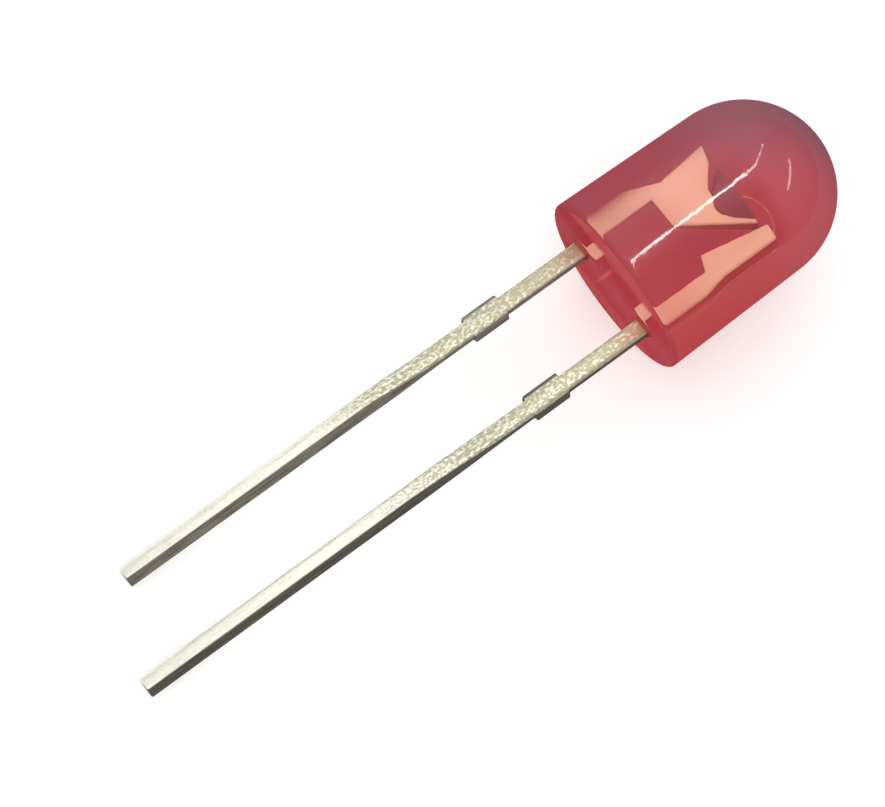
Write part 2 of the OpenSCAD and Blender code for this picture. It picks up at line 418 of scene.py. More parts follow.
def finish_piece(bm, name, node, material):
    """Lays the piece the way the LED lies, in metres, and hands it to the frame."""
    bmesh.ops.transform(bm, matrix=Matrix.Scale(MM, 4) @ sizes().lie(), verts=bm.verts[:])
    mesh = bpy.data.meshes.new(name)
    bm.to_mesh(mesh)
    bm.free()
    mesh.materials.append(material)
    obj = bpy.data.objects.new(name, mesh)
    bpy.context.scene.collection.objects.link(obj)
    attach(obj, BODY)
    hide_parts(node)
    return obj


# ---------------------------------------------------------------- shading

class Value:
    """One output of a material, on which sums add the nodes they need."""

    def __init__(self, finish, socket):
        self.finish, self.socket = finish, socket

    def _sum(self, operation, a, b):
        return self.finish.node("ShaderNodeMath", {"operation": operation}, {0: a, 1: b})

    def __add__(self, other):
        return self._sum("ADD", self, other)

    __radd__ = __add__

    def __sub__(self, other):
        return self._sum("SUBTRACT", self, other)

    def __rsub__(self, other):
        return self._sum("SUBTRACT", other, self)

    def __mul__(self, other):
        return self._sum("MULTIPLY", self, other)

    __rmul__ = __mul__

    def __abs__(self):
        return self.finish.node("ShaderNodeMath", {"operation": "ABSOLUTE"}, {0: self})

    def step(self, low, high):
        """0 below low, 1 above high, with a smooth ramp between them. low may be the larger."""
        return self.finish.node(
            "ShaderNodeMapRange", {"interpolation_type": "SMOOTHSTEP"},
            {"Value": self, "From Min": low, "From Max": high})


class Finish:
    """A material, or the world, made of nodes."""

    def __init__(self, owner):
        owner.use_nodes = True
        self.tree = owner.node_tree
        self.tree.nodes.clear()

    def node(self, kind, settings=None, sockets=None, out=0):
        """A node with its settings, then the numbers, colours or links of its sockets."""
        made = self.tree.nodes.new(kind)
        for key, value in (settings or {}).items():
            setattr(made, key, value)
        for key, value in (sockets or {}).items():
            socket = made.inputs[key]
            if isinstance(value, Value):
                self.tree.links.new(value.socket, socket)
            elif (hasattr(socket.default_value, "__len__")
                  and len(value) < len(socket.default_value)):
                socket.default_value = (*value, 1)
            else:
                socket.default_value = value
        return Value(self, made.outputs[out])

    def mix(self, share, a, b):
        """Colour a, with that share of colour b."""
        return self.node("ShaderNodeMix", {"data_type": "RGBA"}, {0: share, 6: a, 7: b}, out=2)

    def noise(self, at, size, detail=3.0, rough=0.55, stretch=(1, 1, 1)):
        """Grains of about that size in millimetres, from 0 to 1."""
        where = self.node("ShaderNodeVectorMath", {"operation": "MULTIPLY"},
                          {0: at, 1: [1 / (size * s) for s in stretch]})
        return self.node("ShaderNodeTexNoise", {},
                         {"Vector": where, "Scale": 1.0, "Detail": detail, "Roughness": rough})

    def body_axes(self):
        """Where a point is in the body's own axes, in millimetres."""
        turn_back = sizes().lie().inverted().to_euler("XYZ")
        at = self.node("ShaderNodeTexCoord", out="Object")
        return self.node("ShaderNodeMapping", {"vector_type": "POINT"},
                         {"Vector": at, "Scale": (1 / MM,) * 3, "Rotation": turn_back})

    def parts(self, vector):
        """The three numbers of a vector."""
        split = self.node("ShaderNodeSeparateXYZ", {}, {0: vector}).socket.node
        return [Value(self, s) for s in split.outputs]

    def bump(self, height, depth):
        """A bump of that depth in millimetres for a height from 0 to 1."""
        return self.node("ShaderNodeBump", {},
                         {"Height": height, "Strength": 1.0, "Distance": depth * MM})

    def radius(self, y, z):
        """Distance from the body's axis."""
        return self.node("ShaderNodeMath", {"operation": "SQRT"}, {0: y * y + z * z})

    def blend(self, share, a, b):
        """Shader a, with that share of shader b."""
        return self.node("ShaderNodeMixShader", {}, {0: share, 1: a, 2: b})

    def rays(self):
        """What kind of ray meets the surface: a function from a kind's name to its 0 or 1."""
        kinds = self.node("ShaderNodeLightPath").socket.node.outputs
        return lambda kind: Value(self, kinds["Is " + kind + " Ray"])

    def surface(self, sockets):
        """The usual surface shader."""
        return self.node("ShaderNodeBsdfPrincipled", {"distribution": "MULTI_GGX"}, sockets)

    def output(self, surface, volume=None, kind="ShaderNodeOutputMaterial"):
        """Ends the tree with that surface, and with what fills the body."""
        sockets = {"Surface": surface}
        if volume is not None:
            sockets["Volume"] = volume
        made = self.tree.nodes.new(kind)
        for key, value in sockets.items():
            self.tree.links.new(value.socket, made.inputs[key])


def resin_tint(m, lens, x, y, z, clouds, wall):
    """Colour of the haze: painted shade makes it darker on the cathode's side and towards the dome,
    where a painted sheen also turns it mauve; a painted sheen band lies across the base, and
    painted shade darkens the resin round the leads and a ring at the base edge.
    """
    # painted shade: darker on the cathode's side and at the tip of the dome
    across = (y.step(*FAR_SIDE_Y) + x.step(*FAR_DOME_X) * FAR_DOME_SHARE).step(0, 1)
    # painted sheen towards the dome, with a random cloudy tone
    domeward = (x.step(*DOMEWARD_X) + clouds * CLOUDY_TINT - CLOUDY_TINT / 2).step(0, 1)
    tint = m.mix(domeward, m.mix(across, tuple(lens.haze), tuple(lens.far_haze_painted_shade)),
                 m.mix(across, tuple(lens.dome_haze_and_painted_sheen), tuple(lens.far_dome_haze_painted_shade_and_sheen)))
    # painted sheen: a lighter band across the flat base
    band = abs(z - SHEEN_Z).step(*SHEEN_WIDTH) * SHEEN_SHARE
    tint = m.mix(wall, m.mix(band, tuple(lens.base_haze), tuple(lens.base_sheen)), tint)
    # painted shade in the resin drawn up round the leads, and in a ring on the wall at the base
    # edge
    tint = m.mix(x.step(*COLLAR_X), tint, tuple(lens.collar_and_ring_painted_shade))
    return m.mix(wall * x.step(*EDGE_RING_X) * EDGE_RING_SHARE, tint, tuple(lens.collar_and_ring_painted_shade))


def resin_milk(m, lens, x, z, clouds, wall):
    """Share of haze on the outside: thick at the rim, in the dome and at the sides of the base."""
    edge_on = m.node("ShaderNodeLayerWeight", {}, {"Blend": 0.5}, out="Facing")
    rimward = (edge_on.step(*RIM_FACING) + x.step(*DOME_MILK_X)).step(0, 1)
    on_wall = (lens.milkiness + clouds * CLOUDY_MILK - CLOUDY_MILK / 2 + rimward * RIM_MILK
               + x.step(*ROOT_MILK_X) * ROOT_MILK)
    on_base = (BASE_MILK + abs(z).step(*BASE_DEEP_Z) * BASE_DEEP_MILK
               + x.step(*COLLAR_X)).step(0, 1)
    return on_wall * wall + (1 - wall) * on_base


def resin():
    """Dyed, slightly milky epoxy: clear glassy resin mixed with a polished haze.

    The haze closes the far side of the body for light that has come through it. Light that
    leaves the body, and light that casts shadows, passes the surface with a tint. The clear part
    of the flat base has no reflection, so that the leads show through it.
    """
    lens = bpy.context.scene.led_lens
    material = bpy.data.materials.new("Dyed resin")
    m = Finish(material)
    at = m.body_axes()
    x, y, z = m.parts(at)
    clouds = m.noise(at, 1.6, detail=2.0)
    ripple = m.noise(at, 0.5, detail=1.0)
    pitting = m.noise(at, 0.15, detail=2.0, stretch=(1.5, 1, 1))
    wall = x.step(*WALL_X)
    normal = m.bump((ripple + pitting * PITTING) * wall, RESIN_RELIEF)
    half_tint = tuple(math.sqrt(c) for c in lens.clear)

    ray = m.rays()
    backfacing = m.node("ShaderNodeNewGeometry", out="Backfacing")
    inside = backfacing * ray("Transmission")
    leaving = backfacing * (ray("Diffuse") + ray("Glossy") - ray("Transmission")).step(0, 0.5)

    glassy = m.surface({"Base Color": tuple(lens.clear), "Roughness": CLEAR_ROUGH,
                        "IOR": RESIN_IOR, "Transmission Weight": 1.0, "Normal": normal})
    bare = m.node("ShaderNodeBsdfRefraction", {},
                  {"Color": half_tint, "Roughness": CLEAR_ROUGH, "IOR": RESIN_IOR})
    clear = m.blend(wall, bare, glassy)

    tint = m.mix(inside, resin_tint(m, lens, x, y, z, clouds, wall), tuple(lens.deep_haze))
    haze = m.surface({"Base Color": tint, "Roughness": HAZE_ROUGH, "Specular IOR Level": 0.0})
    gloss = m.surface({"Base Color": (1.0, 1.0, 1.0), "Metallic": 1.0,
                       "Roughness": GLOSS_ROUGH, "Normal": normal})
    haze = m.blend((wall * WALL_GLOSS + (1 - wall) * BASE_GLOSS) * (1 - inside), haze, gloss)

    milk = resin_milk(m, lens, x, z, clouds, wall)
    milk = milk * (1 - inside) + inside * lens.deep_milkiness
    passed = m.node("ShaderNodeBsdfTransparent", {}, {"Color": half_tint})
    skin = m.blend(leaving, m.blend(milk, clear, haze), passed)
    skin = m.blend(ray("Shadow"), skin, passed)
    dye = m.node("ShaderNodeVolumeAbsorption", {},
                 {"Color": tuple(lens.dye), "Density": lens.dye_strength})
    m.output(skin, dye)
    return material


def tinned():
    """Stamped strip, tinned outside the body and silvered inside it, with dull sheared sides that
    are partly painted shade, and painted shade on the strip's sides inside the body and on the
    outside of the cup.
    """
    s, leads = sizes(), bpy.context.scene.led_leads
    material = bpy.data.materials.new("Tinned strip")
    m = Finish(material)
    at = m.node("ShaderNodeAttribute",
                {"attribute_type": "GEOMETRY", "attribute_name": STRAIGHT}, out="Vector")
    x, y, z = m.parts(at)
    grain = m.noise(at, 0.07, detail=4.0, rough=0.62, stretch=(1.5, 1, 1))
    fine = m.noise(at, 0.03, detail=2.0)
    drawn = m.noise(at, 0.035, detail=2.0, stretch=(30, 1, 1))

    outside = x.step(*OUTSIDE_X)
    sunk = 1 - outside
    grainy = x.step(*GRAINY_X) * (1 - GRAIN_LEFT) + GRAIN_LEFT
    side = abs(z).step(*(s.half_t - inset for inset in SIDE_IN))
    stub = abs(abs(y) - s.lead_y).step(*(s.half_w + out for out in STUB_OUT)) * outside
    # the outside of the cup, which gets painted shade
    slope = math.tan(CUP_ANGLE)
    off_cone = abs(m.radius(y, z) - x * slope - (CUP_OUT_R - RIM_X * slope))
    cone = off_cone.step(*CONE_SKIN) * x.step(CONE_X, CONE_X + 0.05)
    stain = x.step(*STAINED_X) * outside * (0.6 + grain * 0.4)
    dull = (grain.step(0.36, 0.64) * grainy * GRAIN_DULL + grainy * GRAIN_EVEN
            + drawn.step(0.50, 0.75) * DRAWN_DULL
            + x.step(*NEAR_BASE_X) * NEAR_BASE_DULL).step(0, 1)

    tin = m.mix(dull, tuple(leads.tin), tuple(leads.dull))
    tin = m.mix(stain, tin, tuple(leads.stain))
    plated = m.mix(outside, tuple(leads.silver), tin)
    # sheared sides: partly the metal's own dull tone, partly painted shade, with painted light that
    # makes the cathode's lighter
    sheared = m.mix(y.step(*CATHODE_Y), tuple(leads.sheared),
                    tuple(CATHODE_SIDES_PAINTED_LIGHT * c for c in leads.sheared))
    sheared = m.mix(drawn.step(0.42, 0.62) * DRAWN_SHARE, sheared,
                    tuple(DRAWN_DARKER * c for c in leads.sheared))
    # painted shade on the strip's sides inside the body
    edge = m.mix(outside, tuple(leads.sunk_edge_painted_shade), sheared)
    colour = m.mix((side + stub * STUB_SHARE).step(0, 1), plated, edge)
    relief = (grain * grainy * GRAIN_RELIEF + fine * FINE_RELIEF * grainy + drawn * DRAWN_RELIEF)
    m.output(m.surface({
        "Base Color": m.mix(cone, colour, tuple(leads.cup_shade)),
        "Metallic": (outside * (METAL_OUT - side * METAL_SIDE_LOSS)
                     + sunk * (1 - side) * (1 - cone) * METAL_SUNK),
        "Roughness": ((TIN_ROUGH + dull * DULL_ROUGH + side * SIDE_ROUGH + stub * STUB_ROUGH)
                      * outside + sunk * SUNK_ROUGH),
        "Specular IOR Level": 0.0,
        "Normal": m.bump(relief * (outside * (1 - SUNK_RELIEF) + SUNK_RELIEF), STRIP_RELIEF),
    }))
    return material


def chip_finish():
    """Dark saw-cut crystal with a gold contact pad."""
    s, chip = sizes(), bpy.context.scene.led_chip
    material = bpy.data.materials.new("Chip")
    m = Finish(material)
    at = m.body_axes()
    x, y, z = m.parts(at)
    saw = m.noise(at, 0.012, detail=2.0, stretch=(6, 1, 1))
    pad = m.radius(y, z).step(0.075, 0.068) * x.step(s.chip_top - 0.01, s.chip_top - 0.004)
    crystal = m.mix(saw, tuple(chip.chip_colour), tuple(0.6 * c for c in chip.chip_colour))
    m.output(m.surface({
        "Base Color": m.mix(pad, crystal, tuple(chip.gold)),
        "Metallic": pad,
        "Roughness": 0.22 + saw * 0.25,
        "Normal": m.bump(saw, 0.002),
    }))
    return material


def glue_finish():
    """Silver-filled glue."""
    chip = bpy.context.scene.led_chip
    material = bpy.data.materials.new("Silver glue")
    m = Finish(material)
    at = m.body_axes()
    flakes = m.noise(at, 0.015, detail=3.0)
    m.output(m.surface({
        "Base Color": m.mix(flakes, tuple(chip.glue), tuple(0.6 * c for c in chip.glue)),
        "Metallic": 0.7,
        "Roughness": 0.35 + flakes * 0.3,
        "Normal": m.bump(flakes, 0.004),
    }))
    return material


def gold_finish():
    """Polished gold wire."""
    chip = bpy.context.scene.led_chip
    material = bpy.data.materials.new("Gold wire")
    m = Finish(material)
    at = m.body_axes()
    haze = m.noise(at, 0.02, detail=2.0)
    m.output(m.surface({
        "Base Color": m.mix(haze, tuple(chip.gold), tuple(0.85 * c for c in chip.gold)),
        "Metallic": 1.0,
        "Roughness": 0.16 + haze * 0.12,
    }))
    return material


def floor_finish():
    """Pale floor that shows white where nothing shades it, also in metal and through resin."""
    stage = bpy.context.scene.led_stage
    material = bpy.data.materials.new("Floor")
    m = Finish(material)
    at = m.node("ShaderNodeTexCoord", out="Object")
    grain = m.node("ShaderNodeTexNoise", {}, {"Vector": at, "Scale": 900.0, "Detail": 2.0})
    matt = m.surface({
        "Base Color": m.mix(grain, tuple(stage.floor), tuple(0.985 * c for c in stage.floor)),
        "Roughness": 0.8,
        "Specular IOR Level": 0.2,
    })
    lift = m.node("ShaderNodeEmission", {}, {"Color": (1, 1, 1), "Strength": stage.floor_lift})
    lifted = m.node("ShaderNodeAddShader", {}, {0: matt, 1: lift})
    ray = m.rays()
    seen = (ray("Camera") + ray("Glossy") + ray("Transmission")).step(0, 0.5)
    m.output(m.blend(seen, matt, lifted))
    return material


# ---------------------------------------------------------------- pieces

class LED_OT_lens(bpy.types.Operator):
    """Turn the moulded body: flat base, drafted side and dome"""

    bl_idname = "through_hole_led.lens"
    bl_label = "Lens body"

    SEGMENTS, DOME_STEPS = 160, 40
    # extra rings of points along the side, by their distance from the base
    RINGS = (0.2, 0.4, 2.0, 3.9)
    # resin drawn up each lead: distance from the lead and height above the base
    MENISCUS = ((0.08, 0.0), (0.065, 0.0), (0.042, 0.008), (0.027, 0.025), (0.015, 0.055),
                (0.007, 0.10))
    # a ring that keeps the shading of the base flat, and the least area of a face that is cut
    FLAT_RIM, LEAST_AREA = 0.03, 0.02

    def meniscus(self, bm, s):
        """Draws the resin up round each lead."""
        def base_faces():
            return [f for f in bm.faces if all(abs(v.co.x) < FLAT for v in f.verts)]

        cap = bmesh.ops.dissolve_faces(bm, faces=base_faces())["region"]
        bmesh.ops.inset_region(bm, faces=cap, thickness=self.FLAT_RIM, depth=0)
        reach = self.MENISCUS[0][0]
        for axis, places in ((Vector((0, 0, 1)), [s.half_t + reach, -s.half_t - reach]),
                             (Vector((0, 1, 0)), [sign * s.lead_y + side * (s.half_w + reach)
                                                  for sign in (-1, 1) for side in (-1, 1)])):
            for place in places:
                flat = [f for f in base_faces() if f.calc_area() > self.LEAST_AREA]
                around = (list({e for f in flat for e in f.edges})
                          + list({v for f in flat for v in f.verts}))
                slice_at(bm, flat + around, axis * place, axis)
        for sign in (-1, 1):
            lead = Vector((0, sign * s.lead_y, 0))
            cell = min(base_faces(), key=lambda f: (f.calc_center_median() - lead).length)
            bmesh.ops.subdivide_edges(bm, edges=cell.edges[:], cuts=5)
            (d0, h0), rounded = self.MENISCUS[0], False
            for d, h in self.MENISCUS[1:]:
                bmesh.ops.inset_region(bm, faces=[cell], thickness=d0 - d, depth=h - h0)
                if not rounded:
                    for _ in range(6):
                        bmesh.ops.smooth_vert(bm, verts=cell.verts[:], factor=0.5,
                                              use_axis_y=True, use_axis_z=True)
                    rounded = True
                d0, h0 = d, h

    def execute(self, context):
        s = sizes()
        bm = bmesh.new()
        touch = (s.dome_x + s.dome_r * math.sin(s.draft), s.dome_r * math.cos(s.draft))
        side = [(x, s.base_r - x * math.tan(s.draft)) for x in self.RINGS]
        verts = path(bm, [(0, 0), (0, s.base_r), *side, touch])
        bmesh.ops.spin(bm, geom=verts[-1:], cent=(s.dome_x, 0, 0), axis=(0, 0, 1),
                       angle=s.draft - math.pi / 2, steps=self.DOME_STEPS)
        turn(bm, self.SEGMENTS)
        setback = s.base_edge / math.tan((math.pi / 2 - s.draft) / 2)
        round_edges(bm, rim(bm, 0, s.base_r), setback, 5)
        self.meniscus(bm, s)
        smooth(bm, 40)
        finish_piece(bm, "lens_body", "lens", resin())
        return {"FINISHED"}


class LED_OT_leads(bpy.types.Operator):
    """Stamp the cathode with its reflector cup and the anode with its post"""

    bl_idname = "through_hole_led.leads"
    bl_label = "Leads"

    SPIN_STEPS, TWIST_STEPS = 96, 20
    # how far a broad face falls towards its edges, and where it is cut for that
    CROWN, CROWN_CUTS = 0.03, (-0.62, -0.3, 0, 0.3, 0.62)
    # where each lead's twist starts, and over what length it grows
    CATHODE_TWIST_X, ANODE_TWIST_X = (-4.6, 2.6), (-3.8, 4.0)
    # length of the end that is kept on the floor
    TIP_L = 0.05
    # how steeply a stub's broken face falls, what share of its height is left alone, and how far
    # past its ends points still belong to it
    STUB_SLANT, STUB_ROOT, STUB_SLACK = 0.85, 0.4, 0.1
    # rounds on the rim and in the floor of the cup
    CUP_RIM_ROUND, CUP_FLOOR_ROUND = 0.018, 0.03

    def outline(self, s, length, head):
        """Side view of a lead with its head, outer side at plus Y."""
        inner, outer = s.lead_y - s.half_w, s.lead_y + s.half_w
        return ([(-length, inner), (-s.stub_end, inner), (-s.stub_end, inner - s.stub_proud),
                 (-s.stub_start, inner - s.stub_proud), (-s.stub_start, inner),
                 (JOG_START, inner), (JOG_END, SHAFT_Y - SHAFT_W / 2)] + head
                + [(JOG_END, SHAFT_Y + SHAFT_W / 2), (JOG_START, outer), (-s.stub_start, outer),
                   (-s.stub_start, outer + s.stub_proud), (-s.stub_end, outer + s.stub_proud),
                   (-s.stub_end, outer), (-length, outer)])

    def strip(self, points, s):
        """Extrudes an outline to the strip's thickness and rounds its edges."""
        bm = bmesh.new()
        face = bm.faces.new([bm.verts.new((x, y, -s.half_t)) for x, y in points])
        made = bmesh.ops.extrude_face_region(bm, geom=[face])["geom"]
        bmesh.ops.translate(bm, vec=(0, 0, 2 * s.half_t),
                            verts=[g for g in made if isinstance(g, bmesh.types.BMVert)])
        bmesh.ops.recalc_face_normals(bm, faces=bm.faces[:])
        bm.normal_update()
        sharp = [e for e in bm.edges if e.calc_face_angle(0) > math.radians(50)]
        round_edges(bm, sharp, s.lead_edge, 3)
        return bm

    def crown(self, bm, s, sign):
        """Cuts the outer part lengthwise and lets its two broad faces fall towards the edges."""
        for share in self.CROWN_CUTS:
            slice_at(bm, everything(bm), (0, sign * s.lead_y + share * s.half_w, 0), (0, 1, 0))
        for v in bm.verts:
            if v.co.x < JOG_START / 2 and abs(v.co.z) > s.half_t / 2:
                away = min(abs(v.co.y - sign * s.lead_y) / s.half_w, 1.2)
                v.co.z -= math.copysign(self.CROWN * away * away, v.co.z)

    def shear_stubs(self, bm, s, side):
        """Slants the broken face of the stubs that look towards minus Y."""
        start, end = -s.stub_start + self.STUB_SLACK, -s.stub_end - self.STUB_SLACK
        for v in bm.verts:
            reach = (side * s.lead_y - s.half_w) - v.co.y
            if reach > self.STUB_ROOT * s.stub_proud and end < v.co.x < start:
                v.co.y += self.STUB_SLANT * reach * max(0.0, 0.5 + 0.5 * v.co.z / s.half_t)

    def twist(self, bm, s, sign, length, angle, start, reach):
        """Turns the part beyond the stubs about its own axis and keeps the cut end at the floor."""
        for k in range(self.TWIST_STEPS + 1):
            slice_at(bm, everything(bm), (start - reach * k / self.TWIST_STEPS, 0, 0), (1, 0, 0))
        straight = bm.verts.layers.float_vector.new(STRAIGHT)
        lie = s.lie()
        tip = [v for v in bm.verts if v.co.x < self.TIP_L - length]
        low = min((lie @ v.co).z for v in tip)
        shares = {}
        for v in bm.verts:
            v[straight] = v.co
            way = min(max((start - v.co.x) / reach, 0.0), 1.0)
            shares[v] = way * way * (3 - 2 * way)
            off_axis = Vector((0, v.co.y - sign * s.lead_y, v.co.z))
            turned = Matrix.Rotation(angle * shares[v], 3, "X") @ off_axis
            v.co.y, v.co.z = sign * s.lead_y + turned.y, turned.z
        lift = low - min((lie @ v.co).z for v in tip)
        for v in bm.verts:
            v.co.z += lift * shares[v]

    def cup(self, s):
        """Cone that carries the cup, with the cup sunk into it."""
        bm = bmesh.new()
        path(bm, [(CONE_X, 0), (CONE_X, CUP_FLOOR_R / 2), (RIM_X, CUP_OUT_R), (RIM_X, CUP_R),
                  (CUP_FLOOR_X, CUP_FLOOR_R), (CUP_FLOOR_X, 0)])
        turn(bm, self.SPIN_STEPS)
        both = rim(bm, RIM_X, CUP_OUT_R) + rim(bm, RIM_X, CUP_R)
        round_edges(bm, both, self.CUP_RIM_ROUND, 3)
        round_edges(bm, rim(bm, CUP_FLOOR_X, CUP_FLOOR_R), self.CUP_FLOOR_ROUND, 3)
        return bm

    def execute(self, context):
        s, leads = sizes(), context.scene.led_leads
        finish = tinned()
        shaft_in, shaft_out = SHAFT_Y - SHAFT_W / 2, SHAFT_Y + SHAFT_W / 2

        head = [(HEAD_X, shaft_in), (HEAD_X, HEAD_ROOT), (RIM_X, -CUP_OUT_R - RIM_MARGIN),
                *NOTCH, HEAD_CORNER, (WAIST_X, WAIST_Y), (2 * HEAD_X - WAIST_X, shaft_out)]
        bm = self.strip(self.outline(s, s.cathode_l, head), s)
        self.crown(bm, s, 1)
        self.shear_stubs(bm, s, 1)
        cup = self.cup(s)
        mesh = bpy.data.meshes.new("cup")
        cup.to_mesh(mesh)
        cup.free()
        bm.from_mesh(mesh)
        bpy.data.meshes.remove(mesh)
        self.twist(bm, s, 1, s.cathode_l, leads.cathode_twist, *self.CATHODE_TWIST_X)
        smooth(bm, 35)
        finish_piece(bm, "cathode_lead_tinned", "cathode_lead", finish)

        head = [(FOOT_X, shaft_in), (FOOT_X + FOOT_L, FOOT_Y), (POST_X, POST_OUT - POST_TOP_W),
                (POST_X, POST_OUT), (FOOT_X + POST_WAIST, POST_OUT),
                (FOOT_X - POST_WAIST, shaft_out)]
        bm = self.strip(self.outline(s, s.anode_l, head), s)
        bmesh.ops.scale(bm, vec=(1, -1, 1), verts=bm.verts[:])
        bmesh.ops.recalc_face_normals(bm, faces=bm.faces[:])
        self.crown(bm, s, -1)
        self.shear_stubs(bm, s, -1)
        self.twist(bm, s, -1, s.anode_l, leads.anode_twist, *self.ANODE_TWIST_X)
        smooth(bm, 35)
        finish_piece(bm, "anode_lead_tinned", "anode_lead", finish)
        return {"FINISHED"}


class LED_OT_chip(bpy.types.Operator):
    """Set the chip in its spot of glue"""

    bl_idname = "through_hole_led.chip"
    bl_label = "Chip and glue"

    # the sawn ledge round the top of the chip: its width and how far it lies lower; and the
    # round on every edge
    LEDGE, LEDGE_DROP, CHIP_ROUND = 0.02, 0.03, 0.004

    def execute(self, context):
        s = sizes()
        bm = bmesh.new()
        path(bm, [(CUP_FLOOR_X, 0), (CUP_FLOOR_X, GLUE_R), (CUP_FLOOR_X + GLUE_T, GLUE_R),
                  (CUP_FLOOR_X + GLUE_T, 0)])
        turn(bm, 64)
        round_edges(bm, rim(bm, CUP_FLOOR_X + GLUE_T, GLUE_R), 0.9 * GLUE_T, 4)
        smooth(bm, 40)
        finish_piece(bm, "glue_spot", "die_attach", glue_finish())

        bm = bmesh.new()
        bmesh.ops.create_cube(bm, size=1)
        bmesh.ops.scale(bm, vec=(s.chip_t, s.chip_w, s.chip_w), verts=bm.verts[:])
        bmesh.ops.translate(bm, vec=(s.chip_x + s.chip_t / 2, 0, 0), verts=bm.verts[:])
        top = [f for f in bm.faces if f.normal.x > 0.9]
        bmesh.ops.inset_region(bm, faces=top, thickness=self.LEDGE, depth=0)
        ledge = [v for v in bm.verts if abs(v.co.x - s.chip_top) < FLAT
                 and max(abs(v.co.y), abs(v.co.z)) > s.chip_w / 2 - ON_RING]
        bmesh.ops.translate(bm, vec=(-self.LEDGE_DROP, 0, 0), verts=ledge)
        round_edges(bm, bm.edges[:], self.CHIP_ROUND, 2)
        smooth(bm, 30)
        finish_piece(bm, "chip_crystal", "led_chip", chip_finish())
        return {"FINISHED"}


class LED_OT_bond_wire(bpy.types.Operator):
    """Draw the bond wire from its ball on the chip to its pressed end on the post"""

    bl_idname = "through_hole_led.bond_wire"
    bl_label = "Bond wire"

    def execute(self, context):
        s = sizes()
        start = Vector((s.chip_top + s.ball_r / 2, 0, 0))
        stop = Vector((POST_X, s.post_y, 0))
        span = (stop - start).length
        radius = (span * span / 4 + WIRE_RISE * WIRE_RISE) / (2 * WIRE_RISE)
        half = math.atan2(span / 2, radius - WIRE_RISE)
        along = (stop - start).normalized()
        up = Vector((-along.y, along.x, 0))
        centre = (start + stop) / 2 - (radius - WIRE_RISE) * up

        bm = bmesh.new()
        ring = bmesh.ops.create_circle(bm, segments=20, radius=s.wire_r, cap_ends=True)["verts"]
        along_x = Matrix.Rotation(math.pi / 2, 4, "Y")
        heading = Matrix.Rotation(math.atan2(along.y, along.x) - half, 4, "Z")
        place = Matrix.Translation(stop) @ heading @ along_x
        bmesh.ops.transform(bm, matrix=place, verts=ring)
        bmesh.ops.spin(bm, geom=bm.faces[:], cent=centre, axis=(0, 0, 1), angle=2 * half, steps=48)
        made = bmesh.ops.create_uvsphere(bm, u_segments=32, v_segments=20,
                                         radius=s.ball_r)["verts"]
        bmesh.ops.transform(bm, matrix=Matrix.Translation(start) @ along_x, verts=made)
        ball = (list({e for v in made for e in v.link_edges})
                + list({f for v in made for f in v.link_faces}))
        cut = bmesh.ops.bisect_plane(bm, geom=made + ball, plane_co=(s.chip_top, 0, 0),
                                     plane_no=(1, 0, 0), clear_inner=True)["geom_cut"]
        bmesh.ops.edgeloop_fill(bm, edges=[g for g in cut if isinstance(g, bmesh.types.BMEdge)])
        pressed = bmesh.ops.create_cone(bm, cap_ends=True, segments=32, radius1=STITCH_D / 2,
                                        radius2=STITCH_D / 2 * 0.8, depth=STITCH_T)["verts"]
        bmesh.ops.transform(bm, matrix=Matrix.Translation((POST_X + STITCH_T / 2, s.post_y, 0))
                            @ along_x, verts=pressed)
        bmesh.ops.recalc_face_normals(bm, faces=bm.faces[:])
        smooth(bm, 40)
        finish_piece(bm, "gold_wire", "bond_wire", gold_finish())
        return {"FINISHED"}


